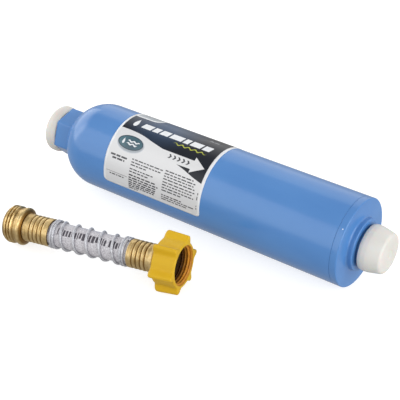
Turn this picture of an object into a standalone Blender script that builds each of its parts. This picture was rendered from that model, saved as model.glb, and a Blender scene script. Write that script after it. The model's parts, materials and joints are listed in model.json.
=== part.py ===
"""Inline drinking-water filter for a caravan or motorhome, with its flexible hose protector.

The filter lies on its side along X. Water enters the hexagonal threaded socket at its -X end, passes
through the pads and the two granular beds, and leaves through the threaded spigot at its +X end. Both
ends carry a white transport closure. The short hose protector lies beside it on the same surface.

Lengths are in millimetres and become metres where the meshes are made. Stations along the filter count
from the flat outlet face, positive with the flow. Stations along the hose protector count from the
right-hand face of its brass collar, positive towards the yellow swivel nut.
"""

import math

import bmesh
import bpy

MM = 0.001
WELD = 1e-6
SEGMENTS = 28
BODY_SEGMENTS = 40
HOLE_CORNERS = 6
WIRE_STEPS = 16

# Garden-hose thread, 3/4 inch, 11.5 turns to the inch
THREAD_PITCH = 2.209
MALE_CREST_R = 13.45
MALE_ROOT_R = 12.3
FEMALE_CREST_R = 12.6
FEMALE_ROOT_R = 13.7

# Filter housing
BODY_R = 31.75
WALL = 3.0
GAP = 0.3
SEAM = -5.1
DOME_START = -217.2
DOME_DEPTH = 29.3
HEX_END = -255.6
HEX_FLATS = 32.0
HEX_TURN = math.radians(11.6)
HEX_ROOT = -239.0
SOCKET_SEAT = -245.6
SOCKET_NECK_R = 7.0

# Outlet end cap with its boss and spigot
EDGE_R = 1.0
BOSS_HEIGHT = 4.1
BOSS_FOOT_R = 19.8
BOSS_TOP_R = 17.9
SPIGOT_END = 20.2
SPIGOT_BORE_R = 8.2
CAP_WALL = 4.6
SKIRT_END = -13.5
SKIRT_R = 28.4
SKIRT_WALL = 2.8

# White transport closures
CLOSURE_START = 6.4
CLOSURE_END = 22.2
CLOSURE_R = 16.3
CLOSURE_END_R = 14.2
CLOSURE_WALL = 1.5
PLUG_END = -264.8
PLUG_FLANGE_R = 17.9
PLUG_TIP = -249.9

# Label, wrapped from below the front over the top and down the back
LABEL_START = -194.0
LABEL_END = -108.5
LABEL_FROM = math.radians(-9.5)
LABEL_TO = math.radians(235.0)
LABEL_CORNER = 3.0
LABEL_SKIN = 0.25
LABEL_STEPS = 44

# Stack inside the housing, as (name, first station, last station, radius)
PADS = (
    ("inlet_felt_pad", -225.2, -219.2, 26.9),
    ("kdf_media_bed", -218.9, -178.9, 28.3),
    ("separator_pad", -178.6, -174.6, 28.4),
    ("carbon_media_bed", -174.3, -44.3, 28.4),
    ("sediment_disc", -44.0, -36.0, 28.4),
    ("outlet_felt_pad", -35.7, -31.7, 28.4),
)
DIFFUSER = (-228.0, -225.5, 25.7)
SUPPORT_PLATE = (-31.4, -28.4, 28.3)
SCREEN = (-246.5, -245.9, 13.3)
SPRING_FROM = -28.1
SPRING_TO = SEAM + 0.2
SPRING_R = 20.0
SPRING_WIRE_R = 1.0
SPRING_TURNS = 4.5

# Hose protector: where its collar face is, measured from the filter's outlet face on the surface below it
HOSE_PLACE = (-211.2, -97.2, 14.2)
HOSE_YAW = math.radians(10.4)
HOSE_RISE = math.radians(2.35)
HOSE_R = 8.4
HOSE_BORE_R = 6.35
HOSE_START = 2.05
HOSE_END = 103.3
BARB_R = 6.05
BARB_ROOT_R = 5.5
BARBS = 3
STEM_BORE_R = 4.3
NECK_R = 8.4
MALE_END = -12.95
COLLAR_R = 13.4
MALE_BORE_R = 8.0
BARB_LENGTH = 17.5
FERRULE_R = 10.0
FERRULE_BORE_R = 8.7
GROOVE_PITCH = 3.27
GROOVE_DEPTH = 0.75
GROOVES = 4
MALE_FERRULE = (1.7, 22.0, 7.2)
FEMALE_FERRULE = (84.2, 104.0, 88.4)

# Coil guard: closed turns at both ends and open turns between
GUARD_R = 9.5
GUARD_WIRE_R = 0.85
GUARD_TURN_MARKS = (0.0, 2.3, 7.35, 9.65)
GUARD_STATIONS = (23.3, 27.5, 78.6, 82.8)
GUARD_PHASE = math.radians(208)

# Yellow swivel nut and the brass stem that carries it
NUT_BACK = 106.2
NUT_FRONT = 123.6
NUT_BODY_R = 15.6
NUT_TIP_R = 20.4
NUT_LOBES = 6
NUT_TURN = math.radians(2.7)
NUT_TAPER = 0.035
NUT_WALL = 3.4
NUT_HOLE_R = 8.8
FLANGE_R = 12.0
FLANGE = (110.0, 112.2)
NUT_WASHER = (112.5, 115.1)


def clear_scene():
    for old in list(bpy.data.objects):
        bpy.data.objects.remove(old, do_unlink=True)


def finish(name, colour, roughness, metallic=0.0):
    """A material with one colour, one roughness and one metallic value."""
    material = bpy.data.materials.new(name)
    material.use_nodes = True
    shader = material.node_tree.nodes["Principled BSDF"]
    shader.inputs["Base Color"].default_value = (*colour, 1.0)
    shader.inputs["Roughness"].default_value = roughness
    shader.inputs["Metallic"].default_value = metallic
    material.diffuse_color = (*colour, 1.0)
    return material


def empty_at(name, place, turn=(0.0, 0.0, 0.0)):
    """An empty that carries the pieces of one group, placed in millimetres."""
    empty = bpy.data.objects.new(name, None)
    empty.location = [MM * value for value in place]
    empty.rotation_euler = turn
    bpy.context.scene.collection.objects.link(empty)
    return empty


def placed(name, data, parent, material):
    piece = bpy.data.objects.new(name, data)
    data.materials.append(material)
    bpy.context.scene.collection.objects.link(piece)
    piece.parent = parent
    return piece


def mesh_from(bm, name, smooth_below=32):
    """A named mesh, shaded smooth except across edges sharper than the angle in degrees."""
    mesh = bpy.data.meshes.new(name)
    bm.to_mesh(mesh)
    bm.free()
    mesh.shade_smooth()
    mesh.set_sharp_from_angle(angle=math.radians(smooth_below))
    return mesh


def turned(name, profile, parent, material, segments=SEGMENTS):
    """A solid turned about X from (station, radius) points; a profile that ends on the axis is left open."""
    bm = bmesh.new()
    verts = [bm.verts.new((MM * station, 0.0, MM * radius)) for station, radius in profile]
    edges = [bm.edges.new(pair) for pair in zip(verts, verts[1:])]
    if profile[0][1] or profile[-1][1]:
        edges.append(bm.edges.new((verts[-1], verts[0])))
    bmesh.ops.spin(
        bm,
        geom=verts + edges,
        cent=(0, 0, 0),
        axis=(1, 0, 0),
        angle=2 * math.pi,
        steps=segments,
        use_merge=True,
    )
    bmesh.ops.remove_doubles(bm, verts=bm.verts, dist=WELD)
    bmesh.ops.recalc_face_normals(bm, faces=bm.faces)
    return placed(name, mesh_from(bm, name), parent, material)


def lofted(name, sections, parent, material):
    """A solid through closed sections with the same number of points, in millimetres."""
    bm = bmesh.new()
    rings = [[bm.verts.new([MM * value for value in point]) for point in section] for section in sections]
    count = len(rings[0])
    for near, far in zip(rings, rings[1:]):
        for i in range(count):
            j = (i + 1) % count
            bm.faces.new((near[i], near[j], far[j], far[i]))
    bm.faces.new(rings[0][::-1])
    bm.faces.new(rings[-1])
    bmesh.ops.recalc_face_normals(bm, faces=bm.faces)
    return placed(name, mesh_from(bm, name), parent, material)


def wound(name, points, wire_radius, parent, material):
    """A round wire along points in millimetres, with its two ends closed."""
    curve = bpy.data.curves.new(name, "CURVE")
    curve.dimensions = "3D"
    curve.bevel_depth = MM * wire_radius
    curve.bevel_resolution = 1
    curve.use_fill_caps = True
    spline = curve.splines.new("POLY")
    spline.points.add(len(points) - 1)
    for target, point in zip(spline.points, points):
        target.co = (*[MM * value for value in point], 1.0)
    return placed(name, curve, parent, material)


def punched_disc(name, stations, radius, holes, parent, material):
    """A flat disc across X with round holes, given as (y, z, radius)."""
    first, last = stations
    curve = bpy.data.curves.new(name, "CURVE")
    curve.dimensions = "2D"
    curve.fill_mode = "BOTH"
    curve.extrude = MM * (last - first) / 2
    for y, z, hole, corners in [(0.0, 0.0, radius, SEGMENTS)] + [(*hole, HOLE_CORNERS) for hole in holes]:
        spline = curve.splines.new("POLY")
        spline.points.add(corners - 1)
        spline.use_cyclic_u = True
        for i, point in enumerate(spline.points):
            turn = 2 * math.pi * i / corners
            point.co = (MM * (y + hole * math.cos(turn)), MM * (z + hole * math.sin(turn)), 0.0, 1.0)
    flat = bpy.data.objects.new(name + "_outline", curve)
    bm = bmesh.new()
    bm.from_mesh(bpy.data.meshes.new_from_object(flat))
    bpy.data.objects.remove(flat)
    bmesh.ops.remove_doubles(bm, verts=bm.verts, dist=WELD)
    for vert in bm.verts:
        y, z, x = vert.co
        vert.co = (x + MM * (first + last) / 2, y, z)
    bmesh.ops.recalc_face_normals(bm, faces=bm.faces)
    return placed(name, mesh_from(bm, name), parent, material)


def arc(station, radius, size, start, stop, steps=4):
    """Profile points on an arc about (station, radius), with angles in degrees from +X towards +radius."""
    points = []
    for i in range(steps + 1):
        turn = math.radians(start + (stop - start) * i / steps)
        points.append((station + size * math.cos(turn), radius + size * math.sin(turn)))
    return points


def ridges(start, end, base, tip):
    """Profile points of thread ridges between two stations, standing from the base radius to the tip."""
    step = math.copysign(THREAD_PITCH, end - start)
    points = [(start, base)]
    for turn in range(int(abs(end - start) / THREAD_PITCH)):
        foot = start + turn * step
        points.append((foot + 0.5 * step, tip))
        points.append((foot + step, base))
    return points


def barbs(start, end):
    """Profile points of hose barbs that rise from the start station towards the end station."""
    step = (end - start) / BARBS
    points = []
    for i in range(BARBS):
        points.append((start + i * step, BARB_ROOT_R))
        points.append((start + (i + 0.85) * step, BARB_R))
    return points


def dome(radius, depth, lowest, steps=9):
    """Profile points of a half-ellipse end, from the given lowest radius to the cylinder."""
    points = []
    first = math.asin(lowest / radius)
    for i in range(steps + 1):
        turn = first + (math.pi / 2 - first) * i / steps
        points.append((DOME_START - depth * math.cos(turn), radius * math.sin(turn)))
    return points


def hole_rings(rings):
    """Hole centres as (y, z, radius) on rings of (ring radius, count, hole radius)."""
    holes = []
    for ring, count, size in rings:
        for i in range(count):
            turn = 2 * math.pi * i / count
            holes.append((ring * math.cos(turn), ring * math.sin(turn), size))
    return holes


def cut(piece, tool, operation):
    """Applies a hidden tool to a piece as a Boolean modifier."""
    tool.hide_render = True
    tool.display_type = "WIRE"
    modifier = piece.modifiers.new(tool.name, "BOOLEAN")
    modifier.operation = operation
    modifier.object = tool


def make_housing(parent, blue):
    outside = [*dome(BODY_R, DOME_DEPTH, 0.0), (SEAM - GAP / 2, BODY_R), (SEAM - GAP / 2, 0.0)]
    housing = turned("housing", outside, parent, blue, BODY_SEGMENTS)
    corner = HEX_FLATS / math.sqrt(3)
    sections = []
    for station, inset in ((HEX_END, 0.7), (HEX_END + 0.7, 0.0), (HEX_ROOT, 0.0)):
        turns = [HEX_TURN + math.radians(60 * i) for i in range(6)]
        size = corner - inset
        sections.append([(station, size * math.cos(turn), size * math.sin(turn)) for turn in turns])
    cut(housing, lofted("hex_tool", sections, parent, blue), "UNION")
    inside = [
        (HEX_END - 2, 0.0),
        (HEX_END - 2, FEMALE_ROOT_R + 0.8),
        (HEX_END + 0.05, FEMALE_ROOT_R + 0.7),
        (HEX_END + 0.8, FEMALE_ROOT_R),
        *ridges(HEX_END + 1.0, HEX_END + 5.6, FEMALE_ROOT_R, FEMALE_CREST_R),
        (SOCKET_SEAT, FEMALE_ROOT_R),
        (SOCKET_SEAT, SOCKET_NECK_R),
        *dome(BODY_R - WALL, DOME_DEPTH - WALL, SOCKET_NECK_R),
        (SEAM + 2, BODY_R - WALL),
        (SEAM + 2, 0.0),
    ]
    cut(housing, turned("cavity_tool", inside, parent, blue, BODY_SEGMENTS), "DIFFERENCE")


def make_end_cap(parent, blue):
    profile = [
        (SPIGOT_END, SPIGOT_BORE_R),
        (SPIGOT_END, MALE_ROOT_R - 0.5),
        (SPIGOT_END - 0.6, MALE_ROOT_R),
        *ridges(SPIGOT_END - 0.9, CLOSURE_START, MALE_ROOT_R, MALE_CREST_R),
        (BOSS_HEIGHT, MALE_ROOT_R),
        (BOSS_HEIGHT, BOSS_TOP_R - 0.5),
        (BOSS_HEIGHT - 0.5, BOSS_TOP_R),
        *arc(1.4, BOSS_FOOT_R, 1.4, 270, 180, 3)[::-1],
        *arc(-EDGE_R, BODY_R - EDGE_R, EDGE_R, 0, 90),
        (SEAM + GAP / 2, BODY_R),
        (SEAM + GAP / 2, SKIRT_R),
        (SKIRT_END, SKIRT_R),
        (SKIRT_END, SKIRT_R - SKIRT_WALL),
        (-CAP_WALL, SKIRT_R - SKIRT_WALL),
        (-CAP_WALL, SPIGOT_BORE_R),
    ]
    turned("end_cap", profile, parent, blue, BODY_SEGMENTS)


def make_label(parent, paper):
    inner = BODY_R + GAP
    outer = inner + LABEL_SKIN
    corner_turn = LABEL_CORNER / outer
    turns = [LABEL_FROM + corner_turn * (1 - math.cos(math.radians(30 * i))) for i in range(3)]
    span = LABEL_TO - LABEL_FROM - 2 * corner_turn
    turns += [LABEL_FROM + corner_turn + span * i / LABEL_STEPS for i in range(LABEL_STEPS + 1)]
    turns += [LABEL_TO - corner_turn * (1 - math.cos(math.radians(30 * i))) for i in (2, 1, 0)]
    sections = []
    for turn in turns:
        edge = min(turn - LABEL_FROM, LABEL_TO - turn) / corner_turn
        inset = LABEL_CORNER * (1 - math.sqrt(max(0.0, 1 - (1 - min(edge, 1.0)) ** 2)))
        first, last = LABEL_START + inset, LABEL_END - inset
        sections.append(
            [
                (station, -radius * math.cos(turn), radius * math.sin(turn))
                for station, radius in ((first, inner), (last, inner), (last, outer), (first, outer))
            ]
        )
    lofted("label", sections, parent, paper)


def make_inside(parent, finishes):
    """Everything sealed in the housing, in the order that the water meets it."""
    first, last, radius = SCREEN
    holes = hole_rings(((0.0, 1, 1.4), (4.5, 8, 1.4)))
    punched_disc("inlet_screen", (first, last), radius, holes, parent, finishes["steel"])
    washer = [(-249.3, 8.0), (-249.3, 13.3), (-246.8, 13.3), (-246.8, 8.0)]
    turned("inlet_washer", washer, parent, finishes["rubber"])
    first, last, radius = DIFFUSER
    holes = hole_rings(((8.0, 6, 2.2), (17.0, 10, 2.2)))
    punched_disc("inlet_diffuser", (first, last), radius, holes, parent, finishes["plastic"])
    for name, first, last, radius in PADS:
        disc = [(first, 0.0), (first, radius), (last, radius), (last, 0.0)]
        turned(name, disc, parent, finishes[name])
    first, last, radius = SUPPORT_PLATE
    holes = hole_rings(((6.0, 6, 2.0), (14.0, 10, 2.0)))
    punched_disc("outlet_support_plate", (first, last), radius, holes, parent, finishes["plastic"])
    steps = int(SPRING_TURNS * WIRE_STEPS)
    start = SPRING_FROM + SPRING_WIRE_R + 0.3
    rise = SPRING_TO - SPRING_WIRE_R - 0.3 - start
    points = []
    for i in range(steps + 1):
        turn = 2 * math.pi * SPRING_TURNS * i / steps
        points.append((start + rise * i / steps, SPRING_R * math.cos(turn), SPRING_R * math.sin(turn)))
    wound("media_spring", points, SPRING_WIRE_R, parent, finishes["steel"])


def make_outlet_cap(parent, white):
    bottom = CLOSURE_END - CLOSURE_WALL
    profile = [
        (CLOSURE_END, 0.0),
        *arc(CLOSURE_END - 2.4, CLOSURE_END_R - 2.4, 2.4, 0, 85),
        (CLOSURE_START + 5.6, CLOSURE_R - 0.1),
        (CLOSURE_START + 2.4, CLOSURE_R),
        (CLOSURE_START, CLOSURE_R - 0.5),
        (CLOSURE_START, MALE_CREST_R + 1.1),
        (SPIGOT_END - 0.8, MALE_CREST_R + 0.3),
        (bottom, MALE_CREST_R - 0.4),
        (bottom, 0.0),
    ]
    turned("outlet_cap", profile, parent, white)


def make_inlet_plug(parent, white):
    profile = [
        (PLUG_TIP - 1.5, 0.0),
        (PLUG_TIP - 1.5, 9.6),
        (PLUG_END + 0.6, 10.6),
        (PLUG_END, 11.2),
        *arc(PLUG_END + 2.2, PLUG_FLANGE_R - 2.2, 2.2, 180, 90),
        (PLUG_END + 4.8, PLUG_FLANGE_R),
        (HEX_END - 1.2, PLUG_FLANGE_R - 1.0),
        (HEX_END - 0.35, PLUG_FLANGE_R - 1.6),
        (HEX_END - 0.35, 12.3),
        (PLUG_TIP - 0.4, 12.1),
        (PLUG_TIP, 11.6),
        (PLUG_TIP, 0.0),
    ]
    turned("inlet_plug", profile, parent, white)


def make_male_fitting(parent, brass):
    profile = [
        (MALE_END, MALE_BORE_R + 0.6),
        (MALE_END, MALE_ROOT_R - 0.4),
        (MALE_END + 0.4, MALE_ROOT_R),
        *ridges(MALE_END + 0.6, MALE_END + 7.9, MALE_ROOT_R, MALE_CREST_R),
        (-4.4, 12.1),
        (-3.7, COLLAR_R - 0.3),
        (-0.4, COLLAR_R),
        (0.0, COLLAR_R - 0.4),
        (0.0, NECK_R),
        (HOSE_START - GAP, NECK_R),
        (HOSE_START - GAP, BARB_R),
        *barbs(HOSE_START + BARB_LENGTH, HOSE_START - GAP)[::-1],
        (HOSE_START + BARB_LENGTH, STEM_BORE_R),
        (0.5, STEM_BORE_R),
        (-2.0, MALE_BORE_R),
        (MALE_END + 0.8, MALE_BORE_R),
    ]
    turned("male_fitting", profile, parent, brass)


def make_ferrule(name, stations, parent, brass):
    """A crimped sleeve with rolled grooves, from (first station, last station, first groove)."""
    first, last, groove = stations
    profile = [(first, FERRULE_BORE_R), (first, FERRULE_R - 0.6), (first + 0.5, FERRULE_R)]
    profile.append((groove - GROOVE_PITCH / 2, FERRULE_R))
    for i in range(GROOVES):
        middle = groove + i * GROOVE_PITCH
        profile.append((middle, FERRULE_R - GROOVE_DEPTH))
        profile.append((middle + GROOVE_PITCH / 2, FERRULE_R))
    profile += [(last - 0.5, FERRULE_R), (last, FERRULE_R - 0.6), (last, FERRULE_BORE_R)]
    turned(name, profile, parent, brass)


def make_hose(parent, vinyl):
    profile = [
        (HOSE_START, HOSE_BORE_R),
        (HOSE_START, HOSE_R),
        (HOSE_END, HOSE_R),
        (HOSE_END, HOSE_BORE_R),
    ]
    turned("hose_tube", profile, parent, vinyl, 32)


def guard_station(turn):
    """The guard's station after a number of turns, on straight stretches between its marks."""
    for i in range(len(GUARD_TURN_MARKS) - 1):
        low, high = GUARD_TURN_MARKS[i], GUARD_TURN_MARKS[i + 1]
        if turn <= high:
            start, end = GUARD_STATIONS[i], GUARD_STATIONS[i + 1]
            return start + (end - start) * (turn - low) / (high - low)
    return GUARD_STATIONS[-1]


def make_guard(parent, steel):
    total = GUARD_TURN_MARKS[-1]
    steps = int(total * WIRE_STEPS)
    points = []
    for i in range(steps + 1):
        turn = total * i / steps
        angle = GUARD_PHASE + 2 * math.pi * turn
        points.append((guard_station(turn), GUARD_R * math.cos(angle), GUARD_R * math.sin(angle)))
    wound("spring_guard", points, GUARD_WIRE_R, parent, steel)


def make_swivel_stem(parent, brass):
    first, last = FLANGE
    tail = HOSE_END - BARB_LENGTH
    profile = [
        (tail, STEM_BORE_R),
        *barbs(tail, HOSE_END + GAP),
        (HOSE_END + GAP, BARB_R),
        (HOSE_END + GAP, NECK_R),
        (first, NECK_R),
        (first, FLANGE_R),
        (last, FLANGE_R),
        (last, STEM_BORE_R),
    ]
    turned("swivel_stem", profile, parent, brass)


def nut_outline(station, inset, taper):
    """The nut's lobed outline at one station, drawn in by an inset and a share of its size."""
    outline = []
    lobe = (
        (NUT_BODY_R, -3.8),
        (NUT_BODY_R + 0.8, -2.9),
        (NUT_TIP_R - 1.8, -2.3),
        (NUT_TIP_R - 0.5, -1.9),
        (NUT_TIP_R, -1.0),
        (NUT_TIP_R, 1.0),
        (NUT_TIP_R - 0.5, 1.9),
        (NUT_TIP_R - 1.8, 2.3),
        (NUT_BODY_R + 0.8, 2.9),
        (NUT_BODY_R, 3.8),
    )
    for i in range(NUT_LOBES):
        turn = NUT_TURN + 2 * math.pi * i / NUT_LOBES
        for out, along in lobe:
            radius = math.hypot(min(out, math.sqrt(NUT_TIP_R**2 - along**2)), along * 0.9)
            if out == NUT_BODY_R:
                radius = NUT_BODY_R
            angle = turn + math.atan2(along, out)
            size = (radius - inset) * (1 - taper * (radius - NUT_BODY_R) / (NUT_TIP_R - NUT_BODY_R))
            outline.append((station, -size * math.cos(angle), size * math.sin(angle)))
        gap_turn = turn + math.pi / NUT_LOBES
        size = NUT_BODY_R - inset
        outline.append((station, -size * math.cos(gap_turn), size * math.sin(gap_turn)))
    return outline


def make_nut(parent, yellow):
    sections = [
        nut_outline(NUT_BACK, 1.5, 0.0),
        nut_outline(NUT_BACK + 0.5, 0.6, 0.0),
        nut_outline(NUT_BACK + 1.6, 0.0, 0.0),
        nut_outline(NUT_FRONT - 1.2, 0.0, NUT_TAPER),
        nut_outline(NUT_FRONT, 0.9, NUT_TAPER),
    ]
    nut = lofted("swivel_nut", sections, parent, yellow)
    cavity = NUT_BACK + NUT_WALL
    bore = [
        (NUT_BACK - 2, 0.0),
        (NUT_BACK - 2, NUT_HOLE_R),
        (cavity, NUT_HOLE_R),
        (cavity, FEMALE_ROOT_R),
        *ridges(NUT_WASHER[1] + 0.3, NUT_FRONT - 0.9, FEMALE_ROOT_R, FEMALE_CREST_R),
        (NUT_FRONT - 0.6, FEMALE_ROOT_R),
        (NUT_FRONT, FEMALE_ROOT_R + 0.4),
        (NUT_FRONT + 2, FEMALE_ROOT_R + 0.5),
        (NUT_FRONT + 2, 0.0),
    ]
    cut(nut, turned("nut_bore_tool", bore, parent, yellow), "DIFFERENCE")


def make_nut_washer(parent, rubber):
    first, last = NUT_WASHER
    profile = [(first, 7.5), (first, 12.3), (last, 12.3), (last, 7.5)]
    turned("nut_washer", profile, parent, rubber)


def build():
    clear_scene()
    blue = finish("blue_moulding", (0.10, 0.22, 0.50), 0.45)
    white = finish("white_polythene", (0.75, 0.75, 0.72), 0.5)
    paper = finish("label_film", (0.80, 0.81, 0.83), 0.4)
    brass = finish("brass", (0.60, 0.43, 0.18), 0.3, 1.0)
    vinyl = finish("grey_vinyl", (0.52, 0.51, 0.54), 0.55)
    guard_steel = finish("guard_steel", (0.50, 0.50, 0.52), 0.4, 0.8)
    yellow = finish("yellow_moulding", (0.70, 0.44, 0.04), 0.5)
    rubber = finish("black_rubber", (0.03, 0.03, 0.03), 0.7)
    finishes = {
        "steel": finish("stainless_steel", (0.55, 0.56, 0.57), 0.3, 1.0),
        "rubber": rubber,
        "plastic": finish("natural_plastic", (0.70, 0.70, 0.68), 0.5),
        "inlet_felt_pad": finish("inlet_felt", (0.82, 0.82, 0.80), 0.9),
        "kdf_media_bed": finish("brass_granules", (0.55, 0.42, 0.16), 0.6),
        "separator_pad": finish("separator_felt", (0.82, 0.82, 0.80), 0.9),
        "carbon_media_bed": finish("carbon_granules", (0.02, 0.02, 0.02), 0.8),
        "sediment_disc": finish("sintered_polymer", (0.85, 0.84, 0.80), 0.8),
        "outlet_felt_pad": finish("outlet_felt", (0.82, 0.82, 0.80), 0.9),
    }
    outlet = -(CLOSURE_END + PLUG_END) / 2
    filter_axis = empty_at("filter_axis", (outlet, 0.0, BODY_R))
    make_housing(filter_axis, blue)
    make_end_cap(filter_axis, blue)
    make_label(filter_axis, paper)
    make_inside(filter_axis, finishes)
    make_outlet_cap(filter_axis, white)
    make_inlet_plug(filter_axis, white)
    x, y, z = HOSE_PLACE
    hose_axis = empty_at("hose_axis", (x + outlet, y, z), (0.0, -HOSE_RISE, HOSE_YAW))
    make_male_fitting(hose_axis, brass)
    make_ferrule("male_ferrule", MALE_FERRULE, hose_axis, brass)
    make_hose(hose_axis, vinyl)
    make_guard(hose_axis, guard_steel)
    make_ferrule("female_ferrule", FEMALE_FERRULE, hose_axis, brass)
    make_swivel_stem(hose_axis, brass)
    make_nut(hose_axis, yellow)
    make_nut_washer(hose_axis, rubber)


build()
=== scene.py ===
"""Looks of the inline water filter and its hose protector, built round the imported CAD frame.

Lengths are millimetres here, and become metres where the meshes are made. Stations along the filter
count from its flat outlet face, positive with the flow. Stations along the hose protector count from the
hose side of its brass collar, positive towards the swivel nut. Turns about either axis are measured from
+Y towards +Z; the label's design counts its turns from -Y upwards.
"""

import json
import math
import random

import bmesh
import bpy
import numpy as np
from mathutils import Matrix, Vector
from mathutils.geometry import delaunay_2d_cdt


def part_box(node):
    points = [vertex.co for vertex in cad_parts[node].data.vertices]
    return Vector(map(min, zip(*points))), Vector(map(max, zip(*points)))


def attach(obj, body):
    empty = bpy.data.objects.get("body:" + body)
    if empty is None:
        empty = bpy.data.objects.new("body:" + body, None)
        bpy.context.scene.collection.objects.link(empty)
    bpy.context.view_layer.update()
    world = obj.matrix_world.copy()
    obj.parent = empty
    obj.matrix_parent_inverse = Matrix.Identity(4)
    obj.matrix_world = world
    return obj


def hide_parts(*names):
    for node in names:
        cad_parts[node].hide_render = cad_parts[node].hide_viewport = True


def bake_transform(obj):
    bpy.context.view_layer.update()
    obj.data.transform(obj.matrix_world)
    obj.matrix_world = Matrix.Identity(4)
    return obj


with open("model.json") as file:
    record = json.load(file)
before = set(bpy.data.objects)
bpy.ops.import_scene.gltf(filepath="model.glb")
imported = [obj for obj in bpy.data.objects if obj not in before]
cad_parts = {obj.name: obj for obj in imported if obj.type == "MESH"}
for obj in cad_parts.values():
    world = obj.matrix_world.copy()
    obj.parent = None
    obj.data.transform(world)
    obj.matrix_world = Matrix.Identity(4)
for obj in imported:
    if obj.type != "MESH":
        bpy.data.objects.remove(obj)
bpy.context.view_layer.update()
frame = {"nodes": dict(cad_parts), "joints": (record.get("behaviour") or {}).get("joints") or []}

MM = 0.001
TAU = math.tau

# 3/4 inch garden-hose thread
THREAD_PITCH = 2.209
MALE_CREST_R = 13.45
MALE_ROOT_R = 12.3
FEMALE_CREST_R = 12.6
FEMALE_ROOT_R = 13.7

# Filter
BODY_R = 31.75
WALL = 3.0
SEAM = -5.1
SEAM_GAP = 0.08
DOME_START = -217.2
DOME_DEPTH = 29.3
SHOULDER_R = 19.3
HEX_END = -255.6
HEX_APOTHEM = 16.0
HEX_TURN = math.radians(11.6)
SOCKET_SEAT = -245.6
INLET_R = 7.0
INLET_WASHER = (-249.2, -246.9)
GATE_STATION = -2.1
GATE_TURN = math.radians(46)
BOSS_HEIGHT = 4.1
BOSS_WALL_R = 18.5
SPIGOT_END = 20.2
SPIGOT_BORE_R = 8.2
CLOSURE_START = 6.4
CLOSURE_END = 22.2
PLUG_END = -264.8
PLUG_TIP = -249.9

# Label, with turns in degrees from -Y upwards
LABEL_R = BODY_R + 0.2
LABEL_START = -194.0
LABEL_END = -108.5
LABEL_LOW = -9.5
LABEL_HIGH = 235.0

# Hose protector
SWIVEL_STATION = 115.0
HOSE_R = 8.6
HOSE_CRIMPED_R = 8.4
HOSE_BORE_R = 6.35
HOSE_START = 2.05
HOSE_END = 103.3
PRINT_TURN = math.radians(125.5)
PRINT_ROWS = (26, 106)
MALE_END = -12.95
COLLAR_START = -5.0
MALE_BORE_R = 8.0
BARB_R = 6.05
BARB_RUN = 17.2
BARBS = 5
STEM_BORE_R = 4.3
FERRULE_R = 10.0
GROOVE_PITCH = 3.27
MALE_FERRULE = (1.7, 22.0, 7.2)
FEMALE_FERRULE = (84.2, 104.0, 88.4)
GUARD_R = 9.5
GUARD_WIRE_R = 0.88
GUARD_TURN_MARKS = (0.0, 2.3, 7.35, 9.65)
GUARD_STATIONS = (23.3, 27.5, 78.6, 82.8)
GUARD_PHASE = math.radians(208)
NUT_BACK = 106.2
NUT_FRONT = 123.6
NUT_LENGTH = NUT_FRONT - NUT_BACK
NUT_SEAT = 114.9
NUT_WASHER = (112.5, 115.0)
NUT_BODY_R = 15.6
NUT_LOBES = 6
NUT_TURN = math.radians(-2.7)
NUT_TAPER = 0.19
NUT_RISE = 3.0
# One lobe as (degrees from its middle, radius)
NUT_LOBE = ((0.0, 21.3), (1.4, 21.25), (2.6, 21.0), (3.8, 20.6), (4.8, 20.1), (5.8, 19.4), (7.1, 18.4))
NUT_LOBE += ((8.6, 17.6), (10.2, 16.9), (12.2, 16.4), (14.5, 16.15), (18.0, 16.0), (30.0, 15.9))

# Camera, solved from the photo: its place is in the filter's frame
CAMERA_TURN = math.radians(35.7)
CAMERA_RISE = math.radians(33.47)
CAMERA_PLACE = Vector((266.8, -553.0, 434.1))
CAMERA_LENS = 100.8

# Floor, in metres, just under the surface that the parts rest on
FLOOR_DROP = 0.0002
FLOOR_HALF = 6.0


# ---- places and camera


def filter_place():
    """The frame whose origin is the middle of the outlet face, with +X along the flow."""
    low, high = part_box("housing")
    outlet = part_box("outlet_cap")[1].x - CLOSURE_END * MM
    return Matrix.Translation((outlet, 0.0, (low.z + high.z) / 2))


def hose_place():
    """The frame whose origin is the middle of the collar's face, with +X along the hose."""
    swivel = next(joint for joint in frame["joints"] if joint["name"] == "nut_swivel")
    along = Vector(swivel["axis"]).normalized()
    origin = Vector(swivel["pos_m"]) - along * SWIVEL_STATION * MM
    yaw = Matrix.Rotation(math.atan2(along.y, along.x), 4, "Z")
    rise = Matrix.Rotation(-math.asin(along.z), 4, "Y")
    return Matrix.Translation(origin) @ yaw @ rise


FILTER = filter_place()
HOSE = hose_place()


def added(name, data):
    """A new object in the scene with this data."""
    item = bpy.data.objects.new(name, data)
    bpy.context.scene.collection.objects.link(item)
    return item


def make_camera():
    level = math.cos(CAMERA_RISE)
    back = (math.sin(CAMERA_TURN) * level, -math.cos(CAMERA_TURN) * level, math.sin(CAMERA_RISE))
    data = bpy.data.cameras.new("camera")
    data.lens = CAMERA_LENS
    data.clip_start = 0.01
    data.clip_end = 20.0
    camera = added("camera", data)
    camera.location = FILTER @ (CAMERA_PLACE * MM)
    camera.rotation_euler = (-Vector(back)).to_track_quat("-Z", "Y").to_euler()
    bpy.context.scene.camera = camera


# ---- materials


def linear(*screen):
    """A scene colour from screen values of 0 to 255."""
    shares = [value / 255 for value in screen]
    return (*(s / 12.92 if s <= 0.04045 else ((s + 0.055) / 1.055) ** 2.4 for s in shares), 1.0)


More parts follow.
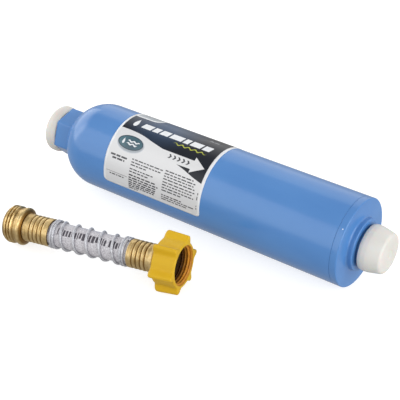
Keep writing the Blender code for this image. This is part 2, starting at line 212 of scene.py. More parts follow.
class Surface:
    """A Principled material with helpers for procedural detail in object coordinates."""

    def __init__(self, name, roughness=0.5, **sockets):
        self.material = bpy.data.materials.new(name)
        self.material.use_nodes = True
        self.nodes = self.material.node_tree.nodes
        self.links = self.material.node_tree.links
        self.shader = self.nodes["Principled BSDF"]
        self.shader.inputs["Roughness"].default_value = roughness
        for socket, value in sockets.items():
            self.shader.inputs[socket.replace("_", " ")].default_value = value
        self.place = self.nodes.new("ShaderNodeTexCoord").outputs["Object"]

    def stretched(self, scale):
        mapping = self.nodes.new("ShaderNodeMapping")
        mapping.inputs["Scale"].default_value = scale
        self.links.new(self.place, mapping.inputs["Vector"])
        return mapping.outputs["Vector"]

    def noise(self, per_metre, stretch=(1.0, 1.0, 1.0), detail=4.0):
        """Noise with this many features in a metre, as a value about 0.5."""
        node = self.nodes.new("ShaderNodeTexNoise")
        node.inputs["Scale"].default_value = per_metre
        node.inputs["Detail"].default_value = detail
        self.links.new(self.stretched(stretch), node.inputs["Vector"])
        return node.outputs["Fac"]

    def cells(self, per_metre):
        """Voronoi cells, as the distance from each cell's middle."""
        node = self.nodes.new("ShaderNodeTexVoronoi")
        node.inputs["Scale"].default_value = per_metre
        self.links.new(self.place, node.inputs["Vector"])
        return node.outputs["Distance"]

    def math(self, operation, first, second=None):
        node = self.nodes.new("ShaderNodeMath")
        node.operation = operation
        for socket, value in zip(node.inputs, (first, second)):
            if isinstance(value, (int, float)):
                socket.default_value = value
            elif value is not None:
                self.links.new(value, socket)
        return node.outputs["Value"]

    def spread(self, value, low, high, start=0.0, end=1.0):
        """The value mapped so that low gives start and high gives end, and held there."""
        node = self.nodes.new("ShaderNodeMapRange")
        self.links.new(value, node.inputs["Value"])
        for socket, number in zip(("From Min", "From Max", "To Min", "To Max"), (low, high, start, end)):
            node.inputs[socket].default_value = number
        return node.outputs["Result"]

    def axes(self):
        """The piece's own coordinates in metres, by axis."""
        split = self.nodes.new("ShaderNodeSeparateXYZ")
        self.links.new(self.place, split.inputs["Vector"])
        return split.outputs

    def radius(self):
        """The distance from the piece's X axis, in metres."""
        axes = self.axes()
        squares = [self.math("MULTIPLY", axes[name], axes[name]) for name in "YZ"]
        return self.math("SQRT", self.math("ADD", *squares))

    def distance(self, point, scale):
        """The distance from a point given in metres, with each direction scaled."""
        node = self.nodes.new("ShaderNodeVectorMath")
        node.operation = "DISTANCE"
        self.links.new(self.stretched(scale), node.inputs[0])
        node.inputs[1].default_value = [value * size for value, size in zip(point, scale)]
        return node.outputs["Value"]

    def mix(self, share, first, second):
        """A colour between two: screen values, a scene colour with its alpha, or a node's output."""
        node = self.nodes.new("ShaderNodeMix")
        node.data_type = "RGBA"
        self.links.new(share, node.inputs["Factor"])
        for socket, value in (("A", first), ("B", second)):
            target = next(i for i in node.inputs if i.name == socket and i.type == "RGBA")
            if isinstance(value, tuple):
                target.default_value = value if len(value) == 4 else linear(*value)
            else:
                self.links.new(value, target)
        return next(output for output in node.outputs if output.type == "RGBA")

    def colour(self, value):
        self.links.new(value, self.shader.inputs["Base Color"])

    def tint(self, value, low, high, first, second):
        """Colours the surface from first to second as the value goes from low to high."""
        self.colour(self.mix(self.spread(value, low, high), first, second))

    def rough(self, noise, least, most):
        self.links.new(self.spread(noise, 0.3, 0.7, least, most), self.shader.inputs["Roughness"])

    def bump(self, height, depth):
        """Relief of this depth in metres."""
        node = self.nodes.new("ShaderNodeBump")
        node.inputs["Distance"].default_value = depth
        node.inputs["Strength"].default_value = 0.6
        self.links.new(height, node.inputs["Height"])
        self.links.new(node.outputs["Normal"], self.shader.inputs["Normal"])


def moulded(name, colour, dark, roughness, grain=2600, depth=0.00002, **sockets):
    """Moulded plastic: a cloudy tone, faint flow lines and a fine grain."""
    surface = Surface(name, roughness, **sockets)
    surface.tint(surface.noise(45, (0.35, 1.0, 1.0)), 0.3, 0.7, dark, colour)
    surface.rough(surface.noise(160, (0.15, 1.0, 1.0), 2.0), roughness - 0.04, roughness + 0.05)
    surface.bump(surface.noise(grain, detail=2.0), depth)
    return surface.material


def shaded_nut_bore(name):
    """The nut's bore as painted shade: a darker orange copy of the nut's yellow at the front, turning
    dark brown towards the washer.
    """
    surface = Surface(name, 0.5, Specular_IOR_Level=0.3)
    # Painted shade throughout: the bore's orange is a darker copy of the nut's yellow.
    cloud = surface.spread(surface.noise(300), 0.3, 0.7)
    amber = surface.mix(cloud, (184, 120, 34), (212, 146, 46))
    # Painted shade: the bore darkens from the front towards the washer.
    mouth = surface.spread(surface.axes()["X"], (NUT_FRONT - 7.4) * MM, (NUT_FRONT - 3.4) * MM)
    surface.colour(surface.mix(mouth, (92, 56, 20), amber))
    surface.bump(surface.noise(2600, detail=2.0), 0.00002)
    return surface.material


def brass(name, deep, proud, dull=0.0):
    """Turned brass: darker in the grooves from the deep to the proud radius, as tarnish and painted
    shade, and fine tool marks.
    """
    surface = Surface(name, 0.3, Metallic=1.0)
    # Partly tarnish, partly painted shade: darker from the proud radius down to the deep one.
    unshaded_untarnished = surface.spread(surface.radius(), deep * MM, proud * MM)
    cloud = surface.spread(surface.noise(350), 0.35, 0.65)
    bright = surface.mix(cloud, (192, 164, 110), (215, 191, 141))
    surface.colour(surface.mix(unshaded_untarnished, (134, 100, 50), bright))
    marks = surface.noise(1500, (6.0, 0.35, 0.35), 3.0)
    surface.rough(marks, 0.28 + dull, 0.46 + dull)
    surface.bump(marks, 0.00003)
    return surface.material


def felt(name, colour, dark):
    surface = Surface(name, 0.95, Sheen_Weight=0.4)
    fibres = surface.noise(2200, (0.3, 1.0, 1.0), 6.0)
    surface.tint(fibres, 0.35, 0.65, dark, colour)
    surface.bump(fibres, 0.0003)
    return surface.material


def granules(name, colour, dark, per_metre, roughness, metallic=0.0):
    surface = Surface(name, roughness, Metallic=metallic)
    cells = surface.cells(per_metre)
    # Painted shade: each cell darkens towards its edge, in the crevices between granules.
    surface.tint(cells, 0.1, 0.7, colour, dark)
    surface.rough(surface.noise(per_metre), roughness - 0.15, roughness + 0.1)
    surface.bump(surface.math("MULTIPLY", cells, -1.0), 0.0006)
    return surface.material


def steel(name, colour, dark, roughness=0.35, metallic=1.0):
    surface = Surface(name, roughness, Metallic=metallic)
    brushed = surface.noise(900, (0.2, 1.0, 1.0))
    surface.tint(brushed, 0.3, 0.7, dark, colour)
    surface.rough(brushed, roughness - 0.08, roughness + 0.12)
    surface.bump(brushed, 0.00002)
    return surface.material


def rubber(name, colour, dusty):
    surface = Surface(name, 0.8, Specular_IOR_Level=0.12)
    surface.tint(surface.noise(700), 0.4, 0.75, colour, dusty)
    surface.bump(surface.noise(3500), 0.00004)
    return surface.material


def vinyl(name):
    """Grey hose vinyl with the fine frosted fleck of its braid."""
    surface = Surface(name, 0.5, Coat_Weight=0.15, Coat_Roughness=0.3)
    fleck = surface.noise(1100, detail=5.0)
    surface.tint(fleck, 0.38, 0.62, (172, 169, 176), (214, 213, 218))
    surface.rough(fleck, 0.4, 0.62)
    surface.bump(fleck, 0.00016)
    return surface.material


def ink(name, colour, shade=None, coat=0.25, gloss=0.5):
    """Printed label film: a slightly uneven tone under a thin gloss."""
    surface = Surface(name, Coat_Weight=coat, Coat_Roughness=0.12, Specular_IOR_Level=gloss)
    shade = shade or (*(0.9 * value for value in linear(*colour)[:3]), 1.0)
    surface.tint(surface.noise(220, detail=3.0), 0.3, 0.7, shade, colour)
    surface.rough(surface.noise(90), 0.27, 0.38)
    surface.bump(surface.noise(900, detail=2.0), 0.00002)
    return surface


def graded_print_and_light(name, near, far, mark, reach, scale=(1.0, 1.0, 1.0), **finish):
    """Film whose colour runs from near, at a mark of (station, turn), to far at its reach in metres; on
    the dark band this is painted reflection.
    """
    surface = ink(name, near, **finish)
    distance = surface.distance(wrapped(mark[0], up(mark[1])), scale)
    grain = surface.math("MULTIPLY", surface.noise(400), 0.08)
    share = surface.math("ADD", surface.spread(distance, 0.0, reach), grain)
    surface.colour(surface.mix(share, near, far))
    return surface.material


BLUE = moulded("blue_moulding", (84, 135, 196), (77, 128, 190), 0.2)
MILKY = {"Subsurface_Weight": 0.25, "Subsurface_Scale": 0.004}
WHITE = moulded("white_polythene", (221, 218, 213), (211, 208, 203), 0.5, **MILKY)
GATE_WHITE = moulded("gate_white", (214, 226, 240), (196, 212, 232), 0.4)
SATIN = {"grain": 1500, "Specular_IOR_Level": 0.3}
YELLOW = moulded("yellow_moulding", (210, 170, 24), (202, 158, 16), 0.46, **SATIN)
YELLOW_BORE_SHADE = shaded_nut_bore("yellow_bore_painted_shade")
VINYL = vinyl("grey_vinyl")
HOSE_INK = moulded("hose_ink", (74, 70, 80), (58, 55, 64), 0.5)
GUARD = steel("guard_steel", (206, 207, 212), (172, 173, 180), 0.45, 0.6)
STAINLESS = steel("stainless_steel", (205, 206, 208), (176, 178, 182), 0.3)
THREAD_BRASS = brass("turned_brass", MALE_ROOT_R - 0.5, MALE_CREST_R - 0.3)
FERRULE_BRASS = brass("crimped_brass", FERRULE_R - 0.75, FERRULE_R - 0.1, 0.08)
STEM_BRASS = brass("stem_brass", 5.4, 8.4)
RUBBER = rubber("black_rubber", (26, 26, 28), (52, 52, 55))
BROWN_RUBBER = rubber("brown_rubber", (40, 26, 10), (62, 44, 20))


# ---- mesh tools


def ease(value):
    """A smooth step from 0 to 1 as the value goes from 0 to 1."""
    value = np.clip(value, 0.0, 1.0)
    return value * value * (3 - 2 * value)


def turns_of(segments, start=0.0):
    return start + np.arange(segments) * TAU / segments


def linked(name, mesh, place, materials):
    for material in materials:
        mesh.materials.append(material)
    piece = added(name, mesh)
    piece.matrix_world = place
    return piece


def smooth(mesh, below=38):
    mesh.shade_smooth()
    mesh.set_sharp_from_angle(angle=math.radians(below))


def skin(name, rows, place, materials, segments=128, start=0.0, below=38):
    """A closed skin about X through rings of (station, radii). A ring of radius 0 is a pole, and without
    poles the last ring joins the first."""
    turns = turns_of(segments, start)
    verts, rings = [], []
    for station, radii in rows:
        if np.isscalar(radii) and radii == 0:
            rings.append([len(verts)])
            verts.append((station * MM, 0.0, 0.0))
            continue
        radii = np.broadcast_to(radii, turns.shape)
        rings.append(list(range(len(verts), len(verts) + segments)))
        points = np.stack([np.full(segments, station), radii * np.cos(turns), radii * np.sin(turns)], 1)
        verts += (points * MM).tolist()
    pairs = list(zip(rings, rings[1:]))
    if len(rings[0]) > 1 and len(rings[-1]) > 1:
        pairs.append((rings[-1], rings[0]))
    faces = []
    for near, far in pairs:
        for i in range(segments):
            j = (i + 1) % segments
            corners = [near[i % len(near)], near[j % len(near)], far[j % len(far)], far[i % len(far)]]
            faces.append(tuple(dict.fromkeys(corners)))
    mesh = bpy.data.meshes.new(name)
    mesh.from_pydata(verts, [], faces)
    bm = bmesh.new()
    bm.from_mesh(mesh)
    bmesh.ops.recalc_face_normals(bm, faces=bm.faces)
    bm.to_mesh(mesh)
    bm.free()
    smooth(mesh, below)
    return linked(name, mesh, place, materials)


def rounded(*corners, loop=False):
    """Profile points through corners of (station, radius, fillet), with each fillet drawn as an arc."""
    points = []
    for i, (station, radius, fillet) in enumerate(corners):
        here = Vector((station, radius))
        if not fillet or (not loop and i in (0, len(corners) - 1)):
            points.append((station, radius))
            continue
        back = Vector(corners[i - 1][:2]) - here
        ahead = Vector(corners[(i + 1) % len(corners)][:2]) - here
        half = back.angle(ahead) / 2
        reach = min(fillet / math.tan(half), 0.49 * back.length, 0.49 * ahead.length)
        middle = here + (back.normalized() + ahead.normalized()).normalized() * reach / math.cos(half)
        spoke = here + back.normalized() * reach - middle
        sweep = spoke.angle_signed(here + ahead.normalized() * reach - middle)
        steps = max(3, round(abs(sweep) / math.radians(12)))
        for step in range(steps + 1):
            point = middle + Matrix.Rotation(-sweep * step / steps, 2) @ spoke
            points.append((point.x, point.y))
    return points


def thread_rows(first, last, root_r, crest_r, turns):
    """Rings between two stations with a right-handed ridge that stands on the root radius."""
    root, flank = 0.22, 0.5
    low, high = min(first, last), max(first, last)
    rows = []
    for station in np.linspace(first, last, round((high - low) / THREAD_PITCH * 14) + 1):
        phase = ((station - low) / THREAD_PITCH - turns / TAU) % 1.0
        ridge = ease((1 - np.abs(2 * phase - 1) - root) / flank)
        fade = ease(min(station - low, high - station) / (0.6 * THREAD_PITCH))
        rows.append((float(station), root_r + (crest_r - root_r) * ridge * fade))
    return rows


def coil(name, centre_line, wire_radius, place, materials, sides=12):
    """A round wire with domed ends along points in millimetres."""
    points = np.array(centre_line, float)
    along = np.gradient(points, axis=0)
    along /= np.linalg.norm(along, axis=1)[:, None]
    out = points * (0.0, 1.0, 1.0)
    out -= along * np.sum(out * along, axis=1)[:, None]
    out /= np.linalg.norm(out, axis=1)[:, None]
    side = np.cross(along, out)
    dome = [(share * wire_radius, math.sqrt(1 - share**2) * wire_radius) for share in (0.4, 0.75, 0.94)]
    rings = [(0, -shift, size) for shift, size in reversed(dome)]
    rings += [(i, 0.0, wire_radius) for i in range(len(points))]
    rings += [(len(points) - 1, shift, size) for shift, size in dome]
    turns = turns_of(sides)
    verts, faces = [], []
    for i, shift, size in rings:
        middle = points[i] + along[i] * shift
        for turn in turns:
            spoke = out[i] * math.cos(turn) + side[i] * math.sin(turn)
            verts.append(tuple((middle + spoke * size) * MM))
    for ring in range(len(rings) - 1):
        for i in range(sides):
            j = (i + 1) % sides
            near, far = ring * sides, (ring + 1) * sides
            faces.append((near + i, near + j, far + j, far + i))
    faces.append(tuple(range(sides))[::-1])
    faces.append(tuple(range(len(verts) - sides, len(verts))))
    mesh = bpy.data.meshes.new(name)
    mesh.from_pydata(verts, [], faces)
    smooth(mesh, 60)
    return linked(name, mesh, place, materials)


def fitted(piece, body, slot, *nodes):
    """Puts a finished piece on its body and in place of its CAD nodes; the slot argument is not used."""
    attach(piece, body)
    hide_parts(*nodes)
    return piece


def bending(piece, node):
    """Bakes the placement into the mesh of a piece that runs between the hose protector's two ends, and
    hides its CAD node.
    """
    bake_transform(piece)
    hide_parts(node)
    return piece


# ---- hose protector


def barbs(first, shape):
    """Profile points of a barbed tail, with a barb's shape as (share of its length, drop in radius)."""
    step = BARB_RUN / BARBS
    starts = [first + i * step for i in range(BARBS)]
    return [(start + share * step, BARB_R - drop) for start in starts for share, drop in shape]


def make_male_fitting():
    segments = 144
    turns = turns_of(segments)
    tip = HOSE_START + BARB_RUN
    bore = rounded(
        (tip, BARB_R - 0.5, 0.0),
        (tip + 0.3, STEM_BORE_R + 0.4, 0.2),
        (tip - 0.1, STEM_BORE_R, 0.2),
        (0.5, STEM_BORE_R, 0.3),
        (-2.0, MALE_BORE_R, 0.3),
        (MALE_END + 0.8, MALE_BORE_R, 0.3),
        (MALE_END, MALE_BORE_R + 0.7, 0.25),
        (MALE_END, MALE_ROOT_R - 0.5, 0.3),
        (MALE_END + 0.7, MALE_ROOT_R, 0.0),
    )
    thread = thread_rows(MALE_END + 0.7, COLLAR_START, MALE_ROOT_R, MALE_CREST_R, turns)
    collar = rounded(
        (COLLAR_START, MALE_ROOT_R, 0.0),
        (-4.7, 12.05, 0.2),
        (-4.1, 12.05, 0.3),
        (-3.8, 12.7, 0.3),
        (-1.75, 12.75, 0.4),
        (-1.45, 13.45, 0.4),
        (0.1, 13.45, 0.5),
        (1.55, 10.7, 0.3),
        (1.6, 8.4, 0.0),
        (HOSE_START - 0.35, 8.4, 0.2),
        (HOSE_START - 0.3, BARB_R, 0.0),
    )
    rows = bore + thread + collar + barbs(HOSE_START, ((0.15, 0.0), (0.3, 0.05), (1.0, 0.55)))
    piece = skin("brass_male_end", rows, HOSE, [THREAD_BRASS], segments)
    return fitted(piece, "hose_male_end", "brass", "male_fitting")


def make_ferrule(name, stations, body, node):
    """A crimped sleeve: rolled ends, and grooves pressed in where the crimp bites."""
    first, last, groove = stations
    lip, edge, crown, bite, bite_width = 8.75, 1.2, 0.06, 0.7, 0.52
    middles = groove + GROOVE_PITCH * np.arange(4)
    outside = rounded((first, lip, 0.0), (first, FERRULE_R, 0.55), (first + edge, FERRULE_R, 0.0))
    for station in np.arange(first + edge, last - edge, 0.15):
        pressed = np.exp(-(((station - middles) / bite_width) ** 2)).sum()
        swell = crown * math.cos(TAU * (station - groove) / GROOVE_PITCH)
        outside.append((float(station), FERRULE_R - crown - swell - bite * float(pressed)))
    outside += rounded((last - edge, FERRULE_R, 0.0), (last, FERRULE_R, 0.55), (last, lip, 0.0))
    piece = skin(name, outside, HOSE, [FERRULE_BRASS], 96)
    return fitted(piece, body, "brass", node)


def make_hose():
    """The tube, with plain upright strokes printed along the side that faces up."""
    segments = 64
    start = PRINT_TURN - 3 * TAU / segments
    rows = rounded(
        (HOSE_START + 1, HOSE_BORE_R, 0.0),
        (HOSE_START, HOSE_BORE_R, 0.3),
        (HOSE_START, HOSE_CRIMPED_R, 0.3),
    )
    row, end = (len(rows) + count for count in PRINT_ROWS)
    stations = np.arange(HOSE_START + 1.0, HOSE_END - 1.0, 0.75)
    for station in stations:
        free = ease((station - MALE_FERRULE[1]) / 2) * ease((FEMALE_FERRULE[0] - station) / 2)
        rows.append((float(station), HOSE_CRIMPED_R + (HOSE_R - HOSE_CRIMPED_R) * float(free)))
    rows += rounded(
        (HOSE_END - 0.5, HOSE_CRIMPED_R, 0.0),
        (HOSE_END, HOSE_CRIMPED_R, 0.3),
        (HOSE_END, HOSE_BORE_R, 0.0),
    )
    rows += [(float(station), HOSE_BORE_R) for station in stations[::-4]]
    hose = skin("hose", rows, HOSE, [VINYL, HOSE_INK], segments, start)
    chance = random.Random(4)
    while row < end:
        wide, pause = chance.choice((1, 2, 2, 3)), chance.choice((1, 1, 1, 3))
        low, high = chance.choice(((0, 6), (0, 5), (1, 6), (0, 6)))
        for ring in range(row, min(row + wide, end)):
            for column in range(low, high):
                hose.data.polygons[ring * segments + column].material_index = 1
        row += wide + pause
    return bending(hose, "hose_tube")


def guard_station(turn):
    """The guard's station after a number of turns: close at both ends, open between."""
    return float(np.interp(turn, GUARD_TURN_MARKS, GUARD_STATIONS))


def make_guard():
    total = GUARD_TURN_MARKS[-1]
    points = []
    for turn in np.linspace(0, total, round(total * 48)):
        angle = GUARD_PHASE + TAU * turn
        station = sum(guard_station(turn + shift) for shift in (-0.08, -0.04, 0.0, 0.04, 0.08)) / 5
        points.append((station, GUARD_R * math.cos(angle), GUARD_R * math.sin(angle)))
    guard = coil("coil_guard", points, GUARD_WIRE_R, HOSE, [GUARD])
    return bending(guard, "spring_guard")


def make_swivel_stem():
    tail = HOSE_END - BARB_RUN - 0.3
    neck = rounded(
        (HOSE_END + 0.3, BARB_R, 0.0),
        (HOSE_END + 0.35, 8.4, 0.2),
        (110.0, 8.4, 0.4),
        (110.0, 12.0, 0.3),
        (112.2, 12.0, 0.3),
        (112.2, STEM_BORE_R + 0.5, 0.3),
        (111.6, STEM_BORE_R, 0.2),
        (tail + 0.4, STEM_BORE_R, 0.2),
        (tail, STEM_BORE_R + 0.4, 0.1),
    )
    rows = barbs(tail, ((0.0, 0.55), (0.7, 0.05), (0.85, 0.0))) + neck
    piece = skin("brass_stem", rows, HOSE, [STEM_BRASS], 96)
    return fitted(piece, "hose_female_end", "brass", "swivel_stem")


def nut_radii(turns, inset, forward):
    """The nut's outline, with lobes that rise from the back and fall a little towards the front."""
    spacing = 360 / NUT_LOBES
    off = np.abs((np.degrees(turns - NUT_TURN) + spacing / 2) % spacing - spacing / 2)
    marks = np.array(NUT_LOBE)
    near = np.linspace(-1.2, 1.2, 9)
    radii = np.mean([np.interp(np.abs(off + shift), marks[:, 0], marks[:, 1]) for shift in near], axis=0)
    short = 1 - min(1.0, forward * NUT_LENGTH / NUT_RISE)
    risen = 0.7 + 0.3 * math.sqrt(1 - short**2)
    return NUT_BODY_R + (radii - NUT_BODY_R) * (risen - NUT_TAPER * forward) - inset


def make_nut():
    segments = 360
    turns = turns_of(segments)
    rows = []
    back_round, front_round = 1.4, 1.0
    for i in range(7):
        turn = math.pi / 2 * i / 6
        gone, inset = back_round * (1 - math.cos(turn)), back_round * (1 - math.sin(turn))
        rows.append((NUT_BACK + gone, nut_radii(turns, inset, gone / NUT_LENGTH)))
    stations = [NUT_BACK + back_round + step for step in (0.4, 0.9, 1.5, 2.1, 2.8)]
    stations += list(np.linspace(NUT_BACK + 5.0, NUT_FRONT - front_round, 9))
    for station in stations:
        rows.append((float(station), nut_radii(turns, 0.0, (station - NUT_BACK) / NUT_LENGTH)))
    for i in range(1, 6):
        turn = math.pi / 2 * i / 5
        inset = front_round * (1 - math.cos(turn))
        rows.append((NUT_FRONT - front_round * (1 - math.sin(turn)), nut_radii(turns, inset, 1.0)))
    rows += rounded(
        (NUT_FRONT, 14.9, 0.0),
        (NUT_FRONT, FEMALE_ROOT_R + 0.35, 0.35),
        (NUT_FRONT - 0.9, FEMALE_ROOT_R, 0.0),
    )
    rows += thread_rows(NUT_FRONT - 0.9, NUT_SEAT, FEMALE_ROOT_R, FEMALE_CREST_R, turns)
    rows += rounded(
        (NUT_SEAT - 0.1, FEMALE_ROOT_R, 0.0),
        (NUT_BACK + 3.4, FEMALE_ROOT_R, 0.4),
        (NUT_BACK + 3.4, 8.8, 0.3),
        (NUT_BACK, 8.8, 0.5),
        (NUT_BACK, 12.0, 0.0),
    )
    piece = skin("yellow_nut", rows, HOSE, [YELLOW, YELLOW_BORE_SHADE], segments, below=50)
    for face in piece.data.polygons:
        station, *across = face.center / MM
        if math.hypot(*across) < FEMALE_ROOT_R + 0.2 and station > NUT_BACK + 1:
            face.material_index = 1
    return fitted(piece, "swivel_nut", "yellow_plastic", "swivel_nut")


def make_washer(name, stations, radii, place, material, body, node):
    """A flat rubber washer with rounded edges and a fine moulded rib on each face."""
    first, last = stations
    inner, outer = radii
    middle = (inner + outer) / 2
    face = [(0.0, inner, 0.4), (0.0, middle - 0.5, 0.1), (0.12, middle, 0.2)]
    face += [(0.0, middle + 0.5, 0.1), (0.0, outer, 0.4)]
    corners = [(first - rib, radius, fillet) for rib, radius, fillet in face]
    corners += [(last + rib, radius, fillet) for rib, radius, fillet in reversed(face)]
    piece = skin(name, rounded(*corners, loop=True), place, [material], 96)
    return fitted(piece, body, "black_rubber", node)


def make_hose_protector():
    hose = make_hose()
    pieces = [
        make_male_fitting(),
        make_ferrule("brass_male_ferrule", MALE_FERRULE, "hose_male_end", "male_ferrule"),
        make_guard(),
        make_ferrule("brass_female_ferrule", FEMALE_FERRULE, "hose_female_end", "female_ferrule"),
        make_swivel_stem(),
        make_nut(),
        make_washer("nut_seal", NUT_WASHER, (7.5, 12.3), HOSE, BROWN_RUBBER, "swivel_nut", "nut_washer"),
    ]


# ---- filter


def hexagon(turns, inset=0.0):
    """Radii of the hexagon's outline, with its corners slightly rounded."""
    sixth = TAU / 6
    off = (turns - HEX_TURN) % sixth
    sides = [(HEX_APOTHEM - inset) / np.cos(off - sixth / 2 + shift * sixth) for shift in (-1, 0, 1)]
    sides = [np.where(side > 0, side, 1e3) for side in sides]
    sharp = 3.5
    return -np.log(sum(np.exp(-sharp * (side - HEX_APOTHEM)) for side in sides)) / sharp + HEX_APOTHEM


def make_housing():
    segments = 240
    turns = turns_of(segments, HEX_TURN)
    corner, flare, groove_r = 0.8, 0.25, SHOULDER_R - 0.45
    rows = rounded(
        (SOCKET_SEAT, INLET_R, 0.0),
        (SOCKET_SEAT, FEMALE_ROOT_R, 0.5),
        (SOCKET_SEAT - 1.2, FEMALE_ROOT_R, 0.0),
    )
    rows += thread_rows(SOCKET_SEAT - 1.2, HEX_END + 0.9, FEMALE_ROOT_R, FEMALE_CREST_R, turns)
    rows += rounded((HEX_END + 0.8, FEMALE_ROOT_R, 0.0), (HEX_END, 14.4, 0.3), (HEX_END, 15.0, 0.0))
    for i in range(6):
        turn = math.pi / 2 * i / 5
        station = HEX_END + corner * (1 - math.cos(turn))
        rows.append((station, hexagon(turns, corner * (1 - math.sin(turn)))))
    root = DOME_START - DOME_DEPTH * math.sqrt(1 - (SHOULDER_R / BODY_R) ** 2) - 0.2
    for station in np.linspace(HEX_END + 1.5, root - 0.5, 10):
        rows.append((float(station), hexagon(turns)))
    for share in (0.3, 0.6, 0.85, 1.0):
        rise = flare * (1 - math.sqrt(1 - share * share))
        rows.append((root - 0.5 + 0.5 * share, hexagon(turns) + rise))
    for share in (0.35, 0.7):
        rows.append((root, (1 - share) * (hexagon(turns) + flare) + share * groove_r))
    first = math.asin((SHOULDER_R - 0.02) / BODY_R)
    rows += rounded(
        (root, groove_r, 0.0),
        (root, SHOULDER_R - 0.02, 0.22),
        (root + 0.5, SHOULDER_R + 0.25, 0.0),
    )
    for i in range(3, 49):
        turn = first + (math.pi / 2 - first) * i / 48
        rows.append((DOME_START - DOME_DEPTH * math.cos(turn), BODY_R * math.sin(turn)))
    end = SEAM - SEAM_GAP
    inner_r, inner_depth = BODY_R - WALL, DOME_DEPTH - WALL
    rows += [(station, BODY_R) for station in np.linspace(DOME_START, end - 2, 40)[1:]]
    rows += rounded(
        (end - 1, BODY_R, 0.0),
        (end, BODY_R, 0.12),
        (end, inner_r, 0.2),
        (DOME_START, inner_r, 0.0),
    )
    lowest = math.asin(INLET_R / inner_r)
    for i in range(1, 13):
        turn = math.pi / 2 + (lowest - math.pi / 2) * i / 12
        rows.append((DOME_START - inner_depth * math.cos(turn), inner_r * math.sin(turn)))
    piece = skin("housing_shell", rows, FILTER, [BLUE], segments, HEX_TURN, below=42)
    return fitted(piece, "filter", "blue_plastic", "housing")


def make_end_cap():
    segments = 200
    turns = turns_of(segments)
    start, inside_face, skirt_end = SEAM + SEAM_GAP, -4.6, -13.5
    rows = rounded(
        (inside_face, 25.6, 0.0),
        (skirt_end, 25.6, 0.4),
        (skirt_end, 28.4, 0.4),
        (start, 28.4, 0.3),
        (start, BODY_R, 0.12),
        (0.0, BODY_R, 0.9),
        (0.0, BOSS_WALL_R, 1.3),
        (BOSS_HEIGHT, BOSS_WALL_R, 0.7),
        (BOSS_HEIGHT, MALE_ROOT_R, 0.8),
        (CLOSURE_START + 0.6, MALE_ROOT_R, 0.0),
    )
    rows += thread_rows(CLOSURE_START + 0.7, SPIGOT_END - 0.9, MALE_ROOT_R, MALE_CREST_R, turns)
    rows += rounded(
        (SPIGOT_END - 0.8, MALE_ROOT_R, 0.0),
        (SPIGOT_END, MALE_ROOT_R - 0.5, 0.3),
        (SPIGOT_END, SPIGOT_BORE_R, 0.5),
        (inside_face, SPIGOT_BORE_R, 0.5),
        (inside_face, 24.0, 0.0),
    )
    piece = skin("end_cap_moulding", rows, FILTER, [BLUE], segments, below=42)
    return fitted(piece, "filter", "blue_plastic", "end_cap")


def make_gate_mark():
    """The pale nub that the mould's gate left on the end cap's rim."""
    out = Vector((0.0, -math.cos(GATE_TURN), math.sin(GATE_TURN)))
    foot = Vector((GATE_STATION * MM, *(BODY_R * MM * out.yz)))
    place = FILTER @ Matrix.Translation(foot) @ out.to_track_quat("X", "Z").to_matrix().to_4x4()
    rows = rounded((-0.3, 0.0, 0.0), (-0.3, 0.5, 0.0), (0.12, 0.42, 0.15), (0.2, 0.0, 0.0))
    piece = skin("gate_mark", rows, place, [GATE_WHITE], 24)
    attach(piece, "filter")


def make_outlet_closure():
    bore = MALE_CREST_R + 0.3
    bottom = CLOSURE_END - 1.5
    rows = rounded(
        (CLOSURE_END - 0.05, 0.0, 0.0),
        (CLOSURE_END - 0.05, 1.2, 0.15),
        (CLOSURE_END - 0.25, 1.6, 0.15),
        (CLOSURE_END - 0.25, 3.2, 0.15),
        (CLOSURE_END, 3.6, 0.15),
        (CLOSURE_END, 14.0, 2.4),
        (CLOSURE_START + 5.6, 16.2, 4.0),
        (CLOSURE_START + 2.4, 16.3, 0.8),
        (CLOSURE_START, 15.8, 0.5),
        (CLOSURE_START, 14.5, 0.4),
        (SPIGOT_END - 0.8, bore, 0.3),
        (bottom, bore - 0.7, 0.9),
        (bottom, 0.0, 0.0),
    )
    piece = skin("outlet_closure", rows, FILTER, [WHITE], 144, below=45)
    return fitted(piece, "outlet_cap", "white_polythene", "outlet_cap")


def make_inlet_closure():
    rows = rounded(
        (PLUG_TIP - 1.5, 0.0, 0.0),
        (PLUG_TIP - 1.5, 9.6, 1.0),
        (PLUG_END + 0.6, 10.6, 0.4),
        (PLUG_END, 11.4, 0.5),
        (PLUG_END, 17.9, 2.2),
        (PLUG_END + 4.8, 17.9, 1.5),
        (HEX_END - 1.2, 16.9, 0.6),
        (HEX_END - 0.35, 16.3, 0.3),
        (HEX_END - 0.35, 12.35, 0.3),
        (PLUG_TIP - 3.0, 12.25, 0.2),
        (PLUG_TIP - 2.6, 12.45, 0.2),
        (PLUG_TIP - 2.2, 12.2, 0.2),
        (PLUG_TIP, 11.7, 0.7),
        (PLUG_TIP, 0.0, 0.0),
    )
    piece = skin("inlet_closure", rows, FILTER, [WHITE], 144, below=45)
    return fitted(piece, "inlet_plug", "white_polythene", "inlet_plug")


# ---- label


def curve_through(points, steps=6):
    """A smooth line through points, by Catmull-Rom."""
    points = [Vector(point) for point in points]
    padded = [2 * points[0] - points[1], *points, 2 * points[-1] - points[-2]]
    line = []
    for a, b, c, d in zip(padded, padded[1:], padded[2:], padded[3:]):
        for i in range(steps):
            t = i / steps
            bend, twist = 2 * a - 5 * b + 4 * c - d, 3 * b - a - 3 * c + d
            line.append(0.5 * (2 * b + (c - a) * t + bend * t**2 + twist * t**3))
    line.append(points[-1])
    return [tuple(point) for point in line]


def up(degrees):
    """A turn round the label as a distance along its film, in millimetres."""
    return math.radians(degrees) * LABEL_R


def on_film(*marks):
    """Points on the flat film from (station, turn in degrees)."""
    return [(station, up(turn)) for station, turn in marks]


def wrapped(station, height):
    """A point of the flat film on the body, in metres."""
    turn = height / LABEL_R
    return (station * MM, -LABEL_R * MM * math.cos(turn), LABEL_R * MM * math.sin(turn))


